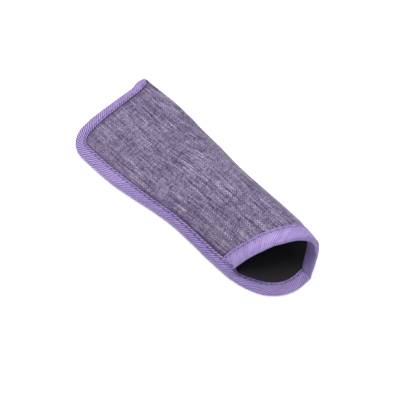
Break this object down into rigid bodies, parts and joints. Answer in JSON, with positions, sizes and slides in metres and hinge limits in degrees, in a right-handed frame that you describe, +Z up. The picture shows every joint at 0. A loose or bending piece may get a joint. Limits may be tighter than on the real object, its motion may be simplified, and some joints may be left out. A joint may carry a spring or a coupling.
{
  "type": "soft pouch glasses case",
  "caption": "Soft slip-in pouch for glasses: padded melange fabric folded along one side, bound with twill tape round its closed end, seam and gaping mouth with a rounded back lip.",
  "frame": {"origin": "centre of the footprint, on the table the pouch rests on", "axes": "+Z up; closed end at +Y, mouth towards -Y; folded side at +X, sewn and bound side at -X"},
  "size_m": [0.0766, 0.1902, 0.0346],
  "materials": {
    "melange_fabric": "matt plain-weave cloth with light and dark purple-grey slub threads",
    "foam": "soft closed padding, hidden between the cloth layers",
    "lining_cloth": "smooth near-black knitted lining",
    "binding_tape": "light violet twill binding with fine slanted ribs",
    "thread": "violet sewing thread"
  },
  "bodies": {
    "pouch": {"outer_fabric": "melange_fabric", "foam_padding": "foam", "lining": "lining_cloth", "perimeter_binding": "binding_tape", "mouth_binding_seam_side": "binding_tape", "mouth_binding_fold_side": "binding_tape", "perimeter_stitching": "thread", "mouth_stitching": "thread"},
    "mouth_flap": {"mouth_flap_fabric": "melange_fabric", "mouth_flap_foam": "foam", "mouth_flap_lining": "lining_cloth", "mouth_flap_binding": "binding_tape", "mouth_flap_stitching": "thread"}
  },
  "joints": [
    {"name": "mouth_flex", "type": "hinge", "parent": "pouch", "child": "mouth_flap", "pos_m": [0, 0.043, 0.0078], "axis": [-1, 0, 0], "range_deg": [-6, 5], "stiffness_Nm_per_rad": 0.02}
  ]
}
